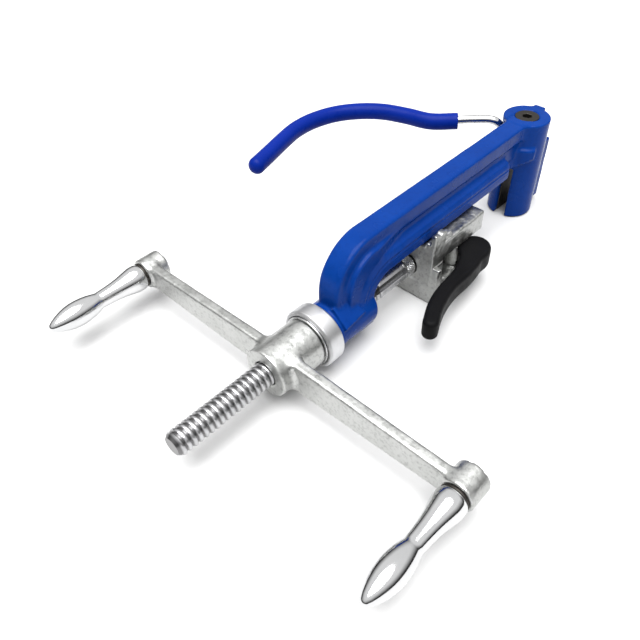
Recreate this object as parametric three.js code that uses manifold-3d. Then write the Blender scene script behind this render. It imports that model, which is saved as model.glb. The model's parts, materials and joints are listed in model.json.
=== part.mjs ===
// Hand tensioner for steel strapping: a two-arm crank nut pulls a keyed screw spindle, and with it
// a gripper, along the rail of a C-shaped frame, and a slotted cutter turns in the nose post.
// Millimetres. While the pieces are made, Y runs along the spindle towards the nose, Z is up and
// the origin is on the spindle's axis at the middle of the crank's arm ends. At the end the whole
// tool is moved so that the middle of its lowest plane is at the group's origin.
import * as THREE from "three";
import { mergeVertices } from "three/addons/utils/BufferGeometryUtils.js";
import Module from "manifold-3d";

const wasm = await Module();
wasm.setup();

// ---- driving dimensions ----
const GAP = 0.3; // between pieces that touch
const RUN = 0.2; // radial running clearance
const REACH = 100; // spindle axis to grip axis

const SPINDLE = { radius: 6.16, root: 4.6, pitch: 3, tail: -65.2, threadEnd: 66, nose: 107 };
const KEYWAY = { turn: 30, width: 3.2, floor: 4.1, from: -11, to: 86 };
const KEY = { width: 2.8, from: 38, to: 51, top: 9.2 };

const HUB = { radius: 12.6, back: -11.85, front: 15.4 };
const ARM = { back: -5.2, front: 0.7, hubHalf: 8.4, endHalf: 6.3, flare: 10.6 };
const BOSS = { radius: 8, half: 6.4, bore: 3.7 };
const GRIP = { start: -8, tip: -62.5, collar: 7.2, waist: 4.5, waistAt: -33.5, bulb: 6.5, bulbAt: -46 };
const PIN = { radius: 3.4, head: 5.2, end: -38 };

const RING = { radius: 15.66, back: 16.5, front: 26, bore: 13.6, floor: 22.8, floorBore: 11.3 };
const RACE = { inner: 7, outer: 13.3, turning: [15.7, 17.4], fixed: [20.7, 22.5] };
const BALL = { count: 10, radius: 1.5, circle: 10.2, at: 19.05 };
const CAGE = { inner: 7.3, outer: 13, half: 0.7, hole: 1.8 };

const BARREL = { radius: 12.6, back: 26.3, front: 55.2, spigot: 11, spigotBack: 23.1, bore: 8.5 };
const BUSH = { inner: 6.4, outer: 8.2, from: 32, to: 54.6 };
const BEND = { back: 30.8, radius: 25.2 };
const TOP = { z: 42.5, half: 6.2, thick: 8.5 };
const WEB = { half: 4.5 };
const RAIL = { half: 10, bottom: 16.8, top: 31, front: 172, throat: 11.2, edge: 3.2, slope: 4.5 };

const POST = { y: 204.3, radius: 13.5, bottom: -19.2, bore: 10, cap: 36.6 };
const SLOT = { left: -3, right: 4, top: 14 };
const PAD = { half: 8.5, front: 224, bottom: -16.8, top: 23.6 };
const RIB = { left: -4, right: 3.4, front: 220.3 };
const LIP = { radius: 15.6, bottom: 17.5, top: 27, from: -100, to: -30 };
const WINDOW = { from: 103, to: 236, inner: 9, bottom: 29.8, top: 38.8 };
const CORE = { radius: 9.8, top: 36.2, slotHalf: 2.6, slotTop: 13 };
const SCREW = { head: 7.2, headDepth: 3.2, shank: 4, end: 22, socketFlat: 5, socketDepth: 2.6 };
const ROD = { radius: 2.4, z: 33, start: 4.9, turn: 213.5 };
const SLEEVE = { radius: 4.8, drop: 0.8 };

const BLOCK = { back: 94, front: 142, left: -13, right: 16.5, bottom: -19.2, top: 16.4 };
const LUG = { bottom: 5.5, corner: 3, lowerTop: -8, lowerRight: 20.5, lowerFront: 138 };
const ANVIL = 1.2; // X of the flat face that the cam presses the band against
const POCKET = { x: 24, y: 126, radius: 22.8 };
const EAR = { inner: 10.4, outer: 15, top: 18.6, front: 112 };
const CORNER = { left: 14.5, right: 20.5, top: 25, thick: 3.4 };
const PIVOT = { x: 11.6, y: 128, radius: 2.5, from: -17.5, to: 12 };
const CAM = { offset: 3.5, offsetTurn: 250, radius: 8.9, bottom: -7.6, top: 4.9 };
const COAT = { bottom: -7, top: 4.6, wall: 2.3 };
const SPRING = { radius: 3.75, wire: 0.45, turns: 3, pitch: 1.1, pocket: 4.7, floor: 0.6 };

// ---- materials ----
function paint(color, roughness, metalness) {
  return new THREE.MeshStandardMaterial({ color, roughness, metalness });
}
const BLUE = paint(0x1a45a8, 0.35, 0);
const SLEEVE_BLUE = paint(0x1c35b8, 0.45, 0);
const CAST_ZINC = paint(0xc9cac6, 0.42, 1);
const CHROME = paint(0xe2e3e5, 0.1, 1);
const TURNED_STEEL = paint(0xb9babb, 0.25, 1);
const BRONZE = paint(0xa8783c, 0.4, 1);
const BLACK_PLASTIC = paint(0x141517, 0.6, 0);
const DARK_STEEL = paint(0x3a3835, 0.5, 0.8);

// ---- solids ----
const degrees = THREE.MathUtils.degToRad;

function solid(geometry) {
  const bare = geometry.index ? geometry.toNonIndexed() : geometry.clone();
  bare.deleteAttribute("normal");
  bare.deleteAttribute("uv");
  const merged = mergeVertices(bare, 1e-4);
  const vertProperties = merged.attributes.position.array;
  const triVerts = new Uint32Array(merged.index.array);
  return new wasm.Manifold(new wasm.Mesh({ numProp: 3, vertProperties, triVerts }));
}

function joined(...solids) {
  return solids.reduce((all, next) => all.add(next));
}

function box([x0, x1], [y0, y1], [z0, z1]) {
  const geometry = new THREE.BoxGeometry(x1 - x0, y1 - y0, z1 - z0);
  geometry.translate((x0 + x1) / 2, (y0 + y1) / 2, (z0 + z1) / 2);
  return solid(geometry);
}

// A round bar along Y, on an axis at x, z.
function barY(radius, y0, y1, { x = 0, z = 0, sides = 32 } = {}) {
  const geometry = new THREE.CylinderGeometry(radius, radius, y1 - y0, sides);
  geometry.translate(x, (y0 + y1) / 2, z);
  return solid(geometry);
}

// A round bar along Z, on an axis at x, y. The top radius can differ.
function barZ(radius, z0, z1, { x = 0, y = 0, sides = 32, topRadius = radius } = {}) {
  const geometry = new THREE.CylinderGeometry(topRadius, radius, z1 - z0, sides);
  geometry.rotateX(Math.PI / 2);
  geometry.translate(x, y, (z0 + z1) / 2);
  return solid(geometry);
}

// A solid of revolution about Y: the profile's points are [radius, y], up the outside.
function turned(profile, { x = 0, sides = 32 } = {}) {
  const points = profile.map(([radius, y]) => new THREE.Vector2(radius, y));
  const geometry = new THREE.LatheGeometry(points, sides);
  geometry.translate(x, 0, 0);
  return solid(geometry);
}

// An outline in Y and Z, extruded along X from -half to half, with its edges bevelled.
function plateX(outline, half, { edge = 0, slope = edge, segments = 2 } = {}) {
  const geometry = new THREE.ExtrudeGeometry(outline, {
    depth: 2 * (half - slope),
    curveSegments: 8,
    bevelEnabled: edge > 0,
    bevelSize: edge,
    bevelOffset: -edge,
    bevelThickness: slope,
    bevelSegments: segments,
  });
  geometry.translate(0, 0, slope - half);
  const turn = new THREE.Matrix4().makeBasis(
    new THREE.Vector3(0, 1, 0),
    new THREE.Vector3(0, 0, 1),
    new THREE.Vector3(1, 0, 0),
  );
  geometry.applyMatrix4(turn);
  return solid(geometry);
}

// An outline in X and Y, extruded along Z, with its edges rounded.
function plateZ(outline, z0, z1, { edge = 0, segments = 2, curveSegments = 10 } = {}) {
  const geometry = new THREE.ExtrudeGeometry(outline, {
    depth: z1 - z0 - 2 * edge,
    curveSegments,
    bevelEnabled: edge > 0,
    bevelSize: edge,
    bevelOffset: -edge,
    bevelThickness: edge,
    bevelSegments: segments,
  });
  geometry.translate(0, 0, z0 + edge);
  return solid(geometry);
}

// A part of a ring about the nose post's axis, between two angles in degrees.
function sector(inner, outer, from, to, z0, z1) {
  const outline = new THREE.Shape();
  outline.absarc(0, POST.y, outer, degrees(from), degrees(to), false);
  outline.absarc(0, POST.y, inner, degrees(to), degrees(from), true);
  return plateZ(outline, z0, z1, { curveSegments: 16 });
}

// A solid through a row of sections, each a closed loop of the same number of points.
function loft(sections) {
  const count = sections[0].length;
  const last = sections.length - 1;
  const positions = sections.flat().flatMap((point) => point.toArray());
  const faces = [];
  for (let s = 0; s < last; s++) {
    for (let i = 0; i < count; i++) {
      const next = (i + 1) % count;
      const [a, b] = [s * count + i, s * count + next];
      faces.push(a, b, b + count, a, b + count, a + count);
    }
  }
  for (let i = 1; i < count - 1; i++) {
    faces.push(0, i + 1, i);
    faces.push(last * count, last * count + i, last * count + i + 1);
  }
  const geometry = new THREE.BufferGeometry();
  geometry.setAttribute("position", new THREE.Float32BufferAttribute(positions, 3));
  geometry.setIndex(faces);
  return solid(geometry);
}

// A tube or rod with a round section along a curve.
function swept(curve, radius, steps, sides) {
  const section = new THREE.Shape();
  for (let i = 0; i < sides; i++) {
    const angle = (2 * Math.PI * i) / sides;
    const [x, y] = [radius * Math.cos(angle), radius * Math.sin(angle)];
    if (i === 0) section.moveTo(x, y);
    else section.lineTo(x, y);
  }
  return solid(new THREE.ExtrudeGeometry(section, { steps, extrudePath: curve, bevelEnabled: false }));
}

// A right-hand V thread about Y. Each column of the grid is turned by one side and lifted by the
// same share of the pitch, so that the rows run along the helix; then the ends are cut square.
function threadedBar(y0, y1, crest, root, pitch, sides) {
  const rows = 2 * Math.ceil((y1 - y0) / pitch) + 7;
  const start = y0 - 2 * pitch;
  const positions = [];
  for (let i = 0; i < sides; i++) {
    const angle = (2 * Math.PI * i) / sides;
    for (let j = 0; j < rows; j++) {
      const radius = j % 2 ? root : crest;
      const y = start + (j / 2 + i / sides) * pitch;
      positions.push(radius * Math.sin(angle), y, radius * Math.cos(angle));
    }
  }
  const below = positions.length / 3;
  positions.push(0, start - pitch, 0);
  positions.push(0, start + (rows / 2 + 1) * pitch, 0);
  const above = below + 1;
  const top = rows - 1;
  const at = (i, j) => (i < sides ? i * rows + j : j + 2);
  const faces = [];
  for (let i = 0; i < sides; i++) {
    const reach = i < sides - 1 ? top : top - 2;
    for (let j = 0; j < reach; j++) {
      faces.push(at(i, j), at(i + 1, j), at(i + 1, j + 1));
      faces.push(at(i, j), at(i + 1, j + 1), at(i, j + 1));
    }
    faces.push(below, at(i + 1, 0), at(i, 0));
    faces.push(above, at(i, reach), at(i + 1, reach));
  }
  for (const j of [0, 1]) {
    faces.push(below, at(0, j), at(0, j + 1));
    faces.push(above, at(sides - 1, top - j), at(sides - 1, top - j - 1));
  }
  const geometry = new THREE.BufferGeometry();
  geometry.setAttribute("position", new THREE.Float32BufferAttribute(positions, 3));
  geometry.setIndex(faces);
  return solid(geometry).intersect(barY(2 * crest, y0, y1));
}

// A bar of rectangular section that stands out radially from the spindle's axis at the keyway.
function keyBar(width, inner, outer, y0, y1) {
  const geometry = new THREE.BoxGeometry(outer - inner, y1 - y0, width);
  geometry.translate((outer + inner) / 2, (y0 + y1) / 2, 0);
  geometry.rotateY(-degrees(KEYWAY.turn));
  return solid(geometry);
}

// ---- the tool and its pieces ----
const tool = new THREE.Group();

function piece(name, made, material) {
  const mesh = made.getMesh();
  const geometry = new THREE.BufferGeometry();
  geometry.setAttribute("position", new THREE.BufferAttribute(mesh.vertProperties, 3));
  geometry.setIndex(new THREE.BufferAttribute(mesh.triVerts, 1));
  const flat = geometry.toNonIndexed();
  flat.computeVertexNormals();
  const added = new THREE.Mesh(flat, material);
  added.name = name;
  tool.add(added);
}

// The frame's outlines end inside the barrel, at this height.
const FOOT = -5;

// The frame's outline in Y and Z, offset inwards by inset from its back and top.
function backCurve(outline, inset, moving) {
  const [y, z] = [BEND.back + BEND.radius, TOP.z - BEND.radius];
  const radius = BEND.radius - inset;
  if (moving) {
    outline.moveTo(y - radius, FOOT);
    outline.lineTo(y - radius, z);
    outline.absarc(y, z, radius, Math.PI, Math.PI / 2, true);
    outline.lineTo(POST.y, TOP.z - inset);
  } else {
    outline.lineTo(POST.y, TOP.z - inset);
    outline.absarc(y, z, radius, Math.PI / 2, Math.PI, false);
    outline.lineTo(y - radius, FOOT);
  }
}

// The inner edge of the C, offset into the metal by inset, from the nose to the barrel.
function throatCurve(outline, inset, front) {
  const [y, z] = [BARREL.front + RAIL.throat, RAIL.bottom - RAIL.throat];
  outline.lineTo(front, RAIL.bottom + inset);
  outline.absarc(y, z, RAIL.throat + inset, Math.PI / 2, Math.PI, false);
  outline.lineTo(y - RAIL.throat - inset, FOOT);
}

function frameCasting() {
  const web = new THREE.Shape();
  backCurve(web, 0, true);
  throatCurve(web, 0.2, POST.y);
  const flange = new THREE.Shape();
  backCurve(flange, 0, true);
  backCurve(flange, TOP.thick, false);
  const rail = new THREE.Shape();
  const height = RAIL.top - RAIL.bottom;
  const railTurn = [BARREL.front + RAIL.throat, RAIL.bottom - RAIL.throat];
  rail.moveTo(railTurn[0] - RAIL.throat - height, FOOT);
  rail.lineTo(railTurn[0] - RAIL.throat - height, railTurn[1]);
  rail.absarc(...railTurn, RAIL.throat + height, Math.PI, Math.PI / 2, true);
  rail.lineTo(RAIL.front, RAIL.top);
  throatCurve(rail, 0, RAIL.front);
  const barrel = turned([
    [0, BARREL.spigotBack],
    [BARREL.spigot, BARREL.spigotBack],
    [BARREL.spigot, BARREL.back],
    [BARREL.radius, BARREL.back],
    [BARREL.radius, BARREL.front - 2],
    [BARREL.radius - 0.8, BARREL.front - 0.6],
    [BARREL.radius - 2, BARREL.front],
    [0, BARREL.front],
  ]);
  const sidePad = box([9, 13.4], [31.5, 44.5], [-6, 6]).rotate([0, -45, 0]);
  const post = joined(
    barZ(POST.radius, POST.bottom, TOP.z - 0.8, { y: POST.y, sides: 40 }),
    barZ(POST.radius, TOP.z - 0.8, TOP.z, { y: POST.y, sides: 40, topRadius: POST.radius - 0.8 }),
    box([-PAD.half, PAD.half], [POST.y, PAD.front], [PAD.bottom, PAD.top]),
    box([RIB.left, RIB.right], [POST.y, RIB.front], [PAD.top - 1, TOP.z]),
    sector(POST.radius - 1, LIP.radius, LIP.from, LIP.to, LIP.bottom, LIP.top),
  );
  const body = joined(
    plateX(web, WEB.half),
    plateX(flange, TOP.half, { edge: 0.8 }),
    plateX(rail, RAIL.half, { edge: RAIL.edge, slope: RAIL.slope }),
    barrel,
    sidePad,
    post,
  );
  const past = 1;
  return body
    .subtract(barY(BARREL.bore, BARREL.spigotBack - past, BARREL.front + past))
    .subtract(keyBar(KEYWAY.width, 0, KEY.top + GAP, KEY.from - GAP, BARREL.front + past))
    .subtract(barZ(POST.bore, POST.bottom - past, POST.cap, { y: POST.y, sides: 40 }))
    .subtract(barZ(SCREW.shank + GAP, POST.cap - past, TOP.z + past, { y: POST.y }))
    .subtract(
      barZ(SCREW.shank + GAP, TOP.z - SCREW.headDepth - GAP, TOP.z + 0.01, {
        y: POST.y,
        topRadius: SCREW.head + GAP,
      }),
    )
    .subtract(box([SLOT.left, SLOT.right], [POST.y - 20, POST.y + 20], [POST.bottom - past, SLOT.top]))
    .subtract(sector(WINDOW.inner, 22, WINDOW.from, WINDOW.to, WINDOW.bottom, WINDOW.top));
}

function bearing() {
  const housing = turned([
    [RING.floorBore, RING.front],
    [RING.floorBore, RING.floor],
    [RING.bore, RING.floor],
    [RING.bore, RING.back],
    [RING.radius - 1.2, RING.back],
    [RING.radius, RING.back + 1.2],
    [RING.radius, RING.front - 0.5],
    [RING.radius - 0.5, RING.front],
    [RING.floorBore, RING.front],
  ], { sides: 36 });
  piece("bearing_housing", housing, CHROME);
  for (const [name, [from, to]] of [["turning_race", RACE.turning], ["fixed_race", RACE.fixed]]) {
    const race = barY(RACE.outer, from, to).subtract(barY(RACE.inner, from - 1, to + 1));
    piece(name, race, TURNED_STEEL);
  }
  let cage = barY(CAGE.outer, BALL.at - CAGE.half, BALL.at + CAGE.half);
  cage = cage.subtract(barY(CAGE.inner, BALL.at - 2, BALL.at + 2));
  for (let i = 0; i < BALL.count; i++) {
    const angle = (2 * Math.PI * i) / BALL.count;
    const [x, z] = [BALL.circle * Math.sin(angle), BALL.circle * Math.cos(angle)];
    cage = cage.subtract(barY(CAGE.hole, BALL.at - 2, BALL.at + 2, { x, z, sides: 8 }));
    const ball = new THREE.IcosahedronGeometry(BALL.radius, 1);
    ball.translate(x, BALL.at, z);
    piece(`bearing_ball_${String(i + 1).padStart(2, "0")}`, solid(ball), CHROME);
  }
  piece("bearing_cage", cage, BRONZE);
}

function barrelFittings() {
  const bush = barY(BUSH.outer, BUSH.from, BUSH.to)
    .subtract(barY(BUSH.inner, BUSH.from - 1, BUSH.to + 1))
    .subtract(keyBar(KEYWAY.width, 0, BUSH.outer + 2, KEY.from - GAP, BUSH.to + 1));
  piece("barrel_bush", bush, BRONZE);
  piece("spindle_key", keyBar(KEY.width, KEYWAY.floor + GAP, KEY.top, KEY.from, KEY.to), TURNED_STEEL);
}

// One arm of the crank: octagonal sections that grow towards the hub, where they flare.
function crankArm(side) {
  const stations = [
    [6, ARM.flare + 1],
    [11, ARM.flare],
    [15, ARM.hubHalf + 0.7],
    [21, ARM.hubHalf],
    [REACH, ARM.endHalf],
  ];
  const cut = 1.3;
  const sections = stations.map(([x, half]) => {
    const corners = [
      [ARM.back + cut, -half],
      [ARM.front - cut, -half],
      [ARM.front, -half + cut],
      [ARM.front, half - cut],
      [ARM.front - cut, half],
      [ARM.back + cut, half],
      [ARM.back, half - cut],
      [ARM.back, -half + cut],
    ];
    return corners.map(([y, z]) => new THREE.Vector3(side * x, y, z));
  });
  return loft(side > 0 ? sections : sections.reverse());
}

function crankHandle() {
  let body = turned([
    [0, HUB.back],
    [HUB.radius - 0.8, HUB.back],
    [HUB.radius, HUB.back + 0.8],
    [HUB.radius, HUB.front - 0.8],
    [HUB.radius - 0.8, HUB.front],
    [0, HUB.front],
  ], { sides: 32 });
  for (const side of [-1, 1]) {
    const boss = barY(BOSS.radius, -BOSS.half, BOSS.half, { x: side * REACH });
    body = joined(body, crankArm(side), boss);
  }
  body = body.subtract(barY(SPINDLE.radius + RUN, HUB.back - 1, HUB.front + 1));
  for (const side of [-1, 1]) {
    body = body.subtract(barY(BOSS.bore, -BOSS.half - 1, BOSS.half + 1, { x: side * REACH }));
  }
  return body;
}

// A turned grip: flared collar, narrow waist, then a bulb that runs out to a blunt tip.
function grip(x) {
  const wall = [[0, GRIP.tip], [1, GRIP.tip]];
  const bulbSteps = 6;
  for (let i = 0; i <= bulbSteps; i++) {
    const share = i / bulbSteps;
    const y = GRIP.tip + 1 + share * (GRIP.waistAt - 2.5 - GRIP.tip - 1);
    const from = y < GRIP.bulbAt ? GRIP.tip - 1.5 : 2 * GRIP.waistAt - GRIP.bulbAt - 6;
    const along = (y - GRIP.bulbAt) / (from - GRIP.bulbAt);
    wall.push([GRIP.bulb * Math.cos((along * Math.PI) / 2) ** 0.8, y]);
  }
  wall.push([GRIP.waist, GRIP.waistAt]);
  wall.push([GRIP.waist + 0.35, -26]);
  wall.push([GRIP.waist + 1.35, -19]);
  wall.push([GRIP.collar - 0.3, -13]);
  wall.push([GRIP.collar, -10.5]);
  wall.push([GRIP.collar - 0.6, GRIP.start]);
  wall.push([0, GRIP.start]);
  const bore = barY(PIN.radius + RUN, PIN.end - 1, GRIP.start + 1, { x, sides: 20 });
  return turned(wall, { x, sides: 20 }).subtract(bore);
}

function grips() {
  for (const [name, side] of [["left", -1], ["right", 1]]) {
    const x = side * REACH;
    piece(`grip_${name}`, grip(x), CHROME);
    const shank = barY(PIN.radius, PIN.end, BOSS.half + GAP + 0.5, { x, sides: 20 });
    const head = turned([
      [0, BOSS.half + GAP],
      [PIN.head, BOSS.half + GAP],
      [PIN.head - 0.6, BOSS.half + GAP + 1],
      [2.5, BOSS.half + GAP + 1.5],
      [0, BOSS.half + GAP + 1.5],
    ], { x, sides: 20 });
    piece(`grip_pin_${name}`, joined(shank, head), TURNED_STEEL);
    const washer = barY(GRIP.collar - 0.5, GRIP.start + GAP, -BOSS.half - GAP, { x, sides: 24 });
    const hole = barY(PIN.radius + RUN, GRIP.start - 1, 0, { x, sides: 20 });
    piece(`grip_washer_${name}`, washer.subtract(hole), DARK_STEEL);
  }
}

function spindle() {
  const { radius, root, pitch, tail, threadEnd, nose } = SPINDLE;
  const thread = threadedBar(tail, threadEnd, radius, root, pitch, 12);
  const shank = barY(radius, threadEnd - 0.4, nose);
  const envelope = turned([
    [0, tail],
    [radius - 1.3, tail],
    [radius + 0.1, tail + 1.4],
    [radius + 0.1, nose - 1],
    [radius - 1, nose],
    [0, nose],
  ]);
  const keyway = keyBar(KEYWAY.width, KEYWAY.floor, radius + 2, KEYWAY.from, KEYWAY.to);
  const lock = barZ(2 + GAP, -10, 10, { y: 101, sides: 16 });
  piece("spindle", joined(thread, shank).intersect(envelope).subtract(keyway).subtract(lock), CHROME);
  piece("spindle_lock_pin", barZ(2, BLOCK.bottom + GAP, 9, { y: 101, sides: 16 }), TURNED_STEEL);
}

// The block is one casting, held as three layers that meet at its pocket's floor and roof.
function gripperLayer(low, high) {
  const { back, front, left, right, bottom, top } = BLOCK;
  const body = joined(
    box([left, right], [back, front], [bottom, top]),
    box([left, LUG.lowerRight], [back, LUG.lowerFront], [bottom, LUG.lowerTop]),
    box([EAR.inner, EAR.outer], [back, EAR.front], [top - 1, EAR.top]),
    box([-EAR.outer, -EAR.inner], [back, EAR.front], [top - 1, EAR.top]),
    box([-EAR.outer, left + 1], [back, EAR.front], [0, top]),
    box([CORNER.left, CORNER.right], [back, back + CORNER.thick], [LUG.lowerTop - 1, CORNER.top]),
    box([CORNER.left, CORNER.right - 1.5], [back + 4.6, back + 8], [LUG.bottom, CORNER.top - 1]),
    box([CORNER.left, CORNER.left + 2.5], [back, back + 8], [LUG.bottom, CORNER.top - 2]),
  );
  const { corner } = LUG;
  const lugNose = barZ(corner, LUG.bottom, top + 1, { x: right - corner, y: front - corner });
  const squareNose = box([right - corner, right + 1], [front - corner, front + 1], [LUG.bottom - 1, top + 2]);
  const past = 1;
  const pocket = joined(
    barZ(POCKET.radius, LUG.lowerTop, LUG.bottom, { ...POCKET, sides: 40 }),
    box([ANVIL, right + past], [POCKET.y, front + past], [LUG.lowerTop, LUG.bottom]),
  );
  return body
    .subtract(squareNose.subtract(lugNose))
    .subtract(pocket)
    .subtract(box([ANVIL, ANVIL + 4.6], [112, front + past], [bottom - past, LUG.lowerTop + past]))
    .subtract(barY(SPINDLE.radius + GAP, back - past, SPINDLE.nose + GAP))
    .subtract(barZ(2 + GAP, bottom - past, 9 + GAP, { y: 101, sides: 16 }))
    .subtract(barZ(PIVOT.radius + GAP, bottom - past, PIVOT.to + GAP, { ...PIVOT, sides: 20 }))
    .intersect(box([-EAR.outer - past, LUG.lowerRight + past], [back - past, front + past], [low, high]));
}

// The gripper lever's round end, and the middle line of its handle with the half width along it.
const ROUND_END = { x: 21.3, y: 127.2, radius: 8.6 };
const HANDLE = [
  [23.2, 122, 6.8],
  [26.2, 114, 5.5],
  [28.3, 104, 4.4],
  [29, 94, 4],
  [30.3, 84, 4.2],
  [33.3, 73.5, 4.2],
  [37.9, 63.4, 4.1],
];

// The handle's plan outline, drawn in by inset on both sides and at its tip.
function handleOutline(inset) {
  const middle = new THREE.CatmullRomCurve3(HANDLE.map(([x, y]) => new THREE.Vector3(x, y, 0)));
  const widths = new THREE.CatmullRomCurve3(HANDLE.map(([, , half], i) => new THREE.Vector3(i, half, 0)));
  const steps = 14;
  const [left, right] = [[], []];
  for (let i = 0; i <= steps; i++) {
    const point = middle.getPoint(i / steps);
    const along = middle.getTangent(i / steps);
    const half = widths.getPoint(i / steps).y - inset;
    left.push(new THREE.Vector2(point.x - along.y * half, point.y + along.x * half));
    right.unshift(new THREE.Vector2(point.x + along.y * half, point.y - along.x * half));
  }
  const end = middle.getPoint(1);
  const heading = Math.atan2(middle.getTangent(1).y, middle.getTangent(1).x);
  const tip = [];
  for (const turn of [60, 20, -20, -60]) {
    const angle = heading + degrees(turn);
    const reach = HANDLE.at(-1)[2] - inset;
    tip.push(new THREE.Vector2(end.x + reach * Math.cos(angle), end.y + reach * Math.sin(angle)));
  }
  return new THREE.Shape([...left, ...tip, ...right]);
}

function gripperLever() {
  const turn = degrees(CAM.offsetTurn);
  const camAt = { x: PIVOT.x + CAM.offset * Math.cos(turn), y: PIVOT.y + CAM.offset * Math.sin(turn) };
  const cam = (grow) => barZ(CAM.radius + grow, CAM.bottom - grow, CAM.top + grow, { ...camAt, sides: 40 });
  const slab = (inset, edge) => {
    const [z0, z1] = [COAT.bottom + inset, COAT.top - inset];
    const circle = new THREE.Shape();
    circle.absarc(ROUND_END.x, ROUND_END.y, ROUND_END.radius - inset, 0, 2 * Math.PI, false);
    return joined(plateZ(handleOutline(inset), z0, z1, { edge }), plateZ(circle, z0, z1, { edge }));
  };
  const blade = (grow) => slab(COAT.wall - grow, 0);
  const coreSolid = joined(cam(0), blade(0))
    .subtract(barZ(PIVOT.radius + RUN, CAM.bottom - 1, CAM.top + 1, { ...PIVOT, sides: 20 }))
    .subtract(barZ(SPRING.pocket, SPRING.floor, CAM.top + 1, { ...PIVOT, sides: 20 }));
  piece("gripper_lever", coreSolid, CAST_ZINC);
  const coatSolid = slab(0, 2).subtract(cam(GAP)).subtract(blade(GAP));
  piece("gripper_lever_coat", coatSolid, BLACK_PLASTIC);
  const pin = barZ(PIVOT.radius, PIVOT.from, PIVOT.to, { ...PIVOT, sides: 20 });
  piece("gripper_pivot_pin", pin, TURNED_STEEL);
  const coil = new THREE.Curve();
  coil.getPoint = (share, target = new THREE.Vector3()) => {
    const angle = 2 * Math.PI * SPRING.turns * share;
    const z = SPRING.floor + SPRING.wire + GAP + SPRING.pitch * SPRING.turns * share;
    const [x, y] = [PIVOT.x + SPRING.radius * Math.cos(angle), PIVOT.y + SPRING.radius * Math.sin(angle)];
    return target.set(x, y, z);
  };
  piece("gripper_spring", swept(coil, SPRING.wire, 12 * SPRING.turns, 6), TURNED_STEEL);
}

// The cutter lever's middle line: straight out of the post, a step up, then a long bow that
// comes back beside the frame. The sleeve's middle line is the same, lowered a little.
function leverCurve(drop) {
  const turn = degrees(ROD.turn);
  const out = (reach, z) => new THREE.Vector3(reach * Math.cos(turn), POST.y + reach * Math.sin(turn), z - drop);
  const level = 37.3;
  const bow = [
    [-34.5, 181.2],
    [-45, 172.1],
    [-60, 168.4],
    [-74.5, 163.2],
    [-86, 154.1],
    [-94.6, 141.7],
    [-99, 126],
    [-98.8, 112],
    [-95.6, 98.5],
    [-91.3, 83.8],
    [-86.2, 66],
  ];
  return new THREE.CatmullRomCurve3([
    out(ROD.start, ROD.z),
    out(10.5, ROD.z + 0.1),
    out(14, 35.6),
    out(17.5, 38),
    out(21.5, 38.8),
    out(31, 38.2),
    ...bow.map(([x, y]) => new THREE.Vector3(x, y, level - drop)),
  ]);
}

// The stretch of a curve between two shares of its length.
function stretch(curve, from, to) {
  const part = new THREE.Curve();
  part.getPoint = (share, target) => curve.getPointAt(from + share * (to - from), target);
  return part;
}

function cutter() {
  const turn = degrees(ROD.turn);
  const hole = new THREE.CylinderGeometry(ROD.radius + GAP, ROD.radius + GAP, 12, 16);
  hole.rotateZ(Math.PI / 2);
  hole.translate(ROD.start - GAP + 6, 0, 0);
  hole.rotateZ(turn);
  hole.translate(0, POST.y, ROD.z);
  const core = barZ(CORE.radius, POST.bottom, CORE.top, { y: POST.y, sides: 40 })
    .subtract(box([-CORE.slotHalf, CORE.slotHalf], [POST.y - 12, POST.y + 12], [POST.bottom - 1, CORE.slotTop]))
    .subtract(barZ(SCREW.shank + GAP, SCREW.end - GAP, CORE.top + 1, { y: POST.y }))
    .subtract(solid(hole));
  piece("cutter_core", core, DARK_STEEL);
  const screwTop = TOP.z - 0.15;
  const socket = barZ(SCREW.socketFlat / Math.sqrt(3), screwTop - SCREW.socketDepth, screwTop + 1, {
    y: POST.y,
    sides: 6,
  });
  const screw = joined(
    barZ(SCREW.shank, SCREW.end, screwTop, { y: POST.y }),
    barZ(SCREW.shank, screwTop - SCREW.headDepth, screwTop, { y: POST.y, topRadius: SCREW.head }),
  ).subtract(socket);
  piece("cutter_screw", screw, DARK_STEEL);
  const curve = leverCurve(0);
  const length = curve.getLength();
  const sleeveStart = 36 / length;
  const rodEnd = 1 - 6 / length;
  piece("cutter_rod", swept(stretch(curve, 0, rodEnd), ROD.radius, 48, 8), CHROME);
  const inner = stretch(curve, sleeveStart - 0.01, rodEnd + 0.005);
  const outer = swept(stretch(leverCurve(SLEEVE.drop), sleeveStart, 1), SLEEVE.radius, 26, 10);
  piece("cutter_sleeve", outer.subtract(swept(inner, ROD.radius + GAP, 42, 8)), SLEEVE_BLUE);
}

piece("frame_casting", frameCasting(), BLUE);
bearing();
barrelFittings();
piece("crank_handle", crankHandle(), CAST_ZINC);
grips();
spindle();
piece("gripper_block_foot", gripperLayer(BLOCK.bottom - 1, LUG.lowerTop - GAP), CAST_ZINC);
piece("gripper_block", gripperLayer(LUG.lowerTop, LUG.bottom), CAST_ZINC);
piece("gripper_block_lid", gripperLayer(LUG.bottom + GAP, CORNER.top + 1), CAST_ZINC);
gripperLever();
cutter();

const bounds = new THREE.Box3().setFromObject(tool);
const centre = bounds.getCenter(new THREE.Vector3());
tool.position.set(-centre.x, -centre.y, -bounds.min.z);

const root = new THREE.Group();
root.add(tool);

export default root;
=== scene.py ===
"""The strapping tensioner's looks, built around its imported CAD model."""

import json
import math

import bpy
import bmesh
import numpy as np
import openvdb as vdb
from mathutils import Matrix, Vector, noise


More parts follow.
